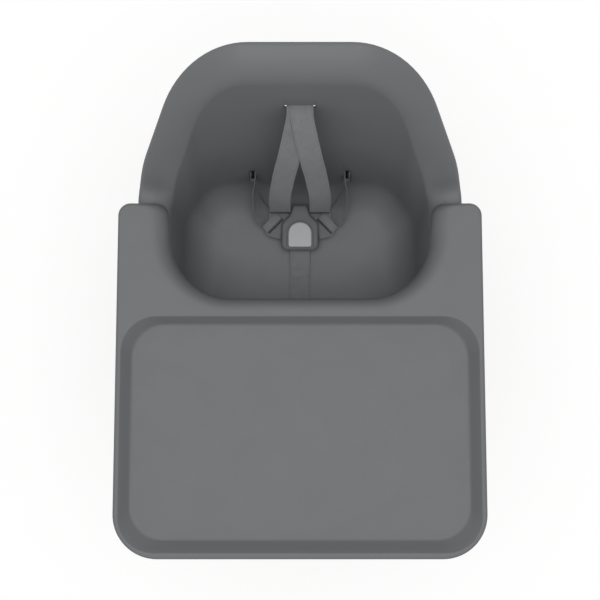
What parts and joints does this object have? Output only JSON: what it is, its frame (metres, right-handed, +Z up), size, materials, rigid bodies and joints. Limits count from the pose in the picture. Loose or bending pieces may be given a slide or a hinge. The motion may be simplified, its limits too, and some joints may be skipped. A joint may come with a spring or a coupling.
{
  "type": "high chair",
  "caption": "Child's high chair: a moulded bucket seat with harness and a sliding, latched tray, on splayed turned wooden legs with a footrest.",
  "frame": {"origin": "on the floor, under the middle of the chair's outline in plan", "axes": "+Z up, -Y the way the child faces, +X to the right in the view from above"},
  "size_m": [0.4792, 0.558, 0.945],
  "materials": {
    "moulded_shell": "fine matt texture",
    "moulded_tray": "fine matt texture",
    "webbing": "woven webbing",
    "buckle_plastic": "satin",
    "button_plastic": "satin",
    "base_plastic": "fine matt texture",
    "wood": "satin clear lacquer",
    "steel": "zinc plated",
    "rubber": "matt"
  },
  "bodies": {
    "chair": {"base_screw_front_left": "steel", "base_screw_front_right": "steel", "base_screw_rear_left": "steel", "base_screw_rear_right": "steel", "buckle_back": "buckle_plastic", "buckle_housing": "buckle_plastic", "buckle_tongue_left": "buckle_plastic", "buckle_tongue_right": "buckle_plastic", "button_spring": "steel", "clamp_set_screw_left": "steel", "clamp_set_screw_right": "steel", "crotch_strap": "webbing", "crotch_strap_anchor": "steel", "foot_cap_front_left": "rubber", "foot_cap_front_right": "rubber", "foot_cap_rear_left": "rubber", "foot_cap_rear_right": "rubber", "footrest_board": "wood", "footrest_clamp_left": "base_plastic", "footrest_clamp_right": "base_plastic", "footrest_screw_inner_left": "steel", "footrest_screw_inner_right": "steel", "footrest_screw_outer_left": "steel", "footrest_screw_outer_right": "steel", "leg_bolt_front_left": "steel", "leg_bolt_front_right": "steel", "leg_bolt_rear_left": "steel", "leg_bolt_rear_right": "steel", "leg_front_left": "wood", "leg_front_right": "wood", "leg_nut_front_left": "steel", "leg_nut_front_right": "steel", "leg_nut_rear_left": "steel", "leg_nut_rear_right": "steel", "leg_rear_left": "wood", "leg_rear_right": "wood", "seat_base": "base_plastic", "seat_shell": "moulded_shell", "shoulder_strap_anchor": "steel", "shoulder_strap_left": "webbing", "shoulder_strap_right": "webbing", "waist_strap_anchor_left": "steel", "waist_strap_anchor_right": "steel", "waist_strap_left": "webbing", "waist_strap_right": "webbing"},
    "tray": {"tray_top": "moulded_tray", "wing_rail_left": "base_plastic", "wing_rail_right": "base_plastic", "latch_spring_left": "steel", "latch_spring_right": "steel", "rail_screw_front_left": "steel", "rail_screw_front_right": "steel", "rail_screw_rear_left": "steel", "rail_screw_rear_right": "steel"},
    "latch_left": {"latch_left": "base_plastic"},
    "latch_right": {"latch_right": "base_plastic"},
    "button": {"buckle_button": "button_plastic"}
  },
  "joints": [
    {"name": "tray_slide", "type": "slide", "parent": "chair", "child": "tray", "axis": [0, -1, 0], "range_m": [0, 0.05]},
    {"name": "latch_left_pull", "type": "slide", "parent": "tray", "child": "latch_left", "axis": [-1, 0, 0], "range_m": [0, 0.0065], "stiffness_N_per_m": 600, "springref_m": -0.002, "deforming": ["latch_spring_left"]},
    {"name": "latch_right_pull", "type": "slide", "parent": "tray", "child": "latch_right", "axis": [1, 0, 0], "range_m": [0, 0.0065], "stiffness_N_per_m": 600, "springref_m": -0.002, "deforming": ["latch_spring_right"]},
    {"name": "button_press", "type": "slide", "parent": "chair", "child": "button", "axis": [0, 0, -1], "range_m": [0, 0.0032], "stiffness_N_per_m": 1200, "springref_m": -0.0008, "deforming": ["button_spring"]}
  ]
}
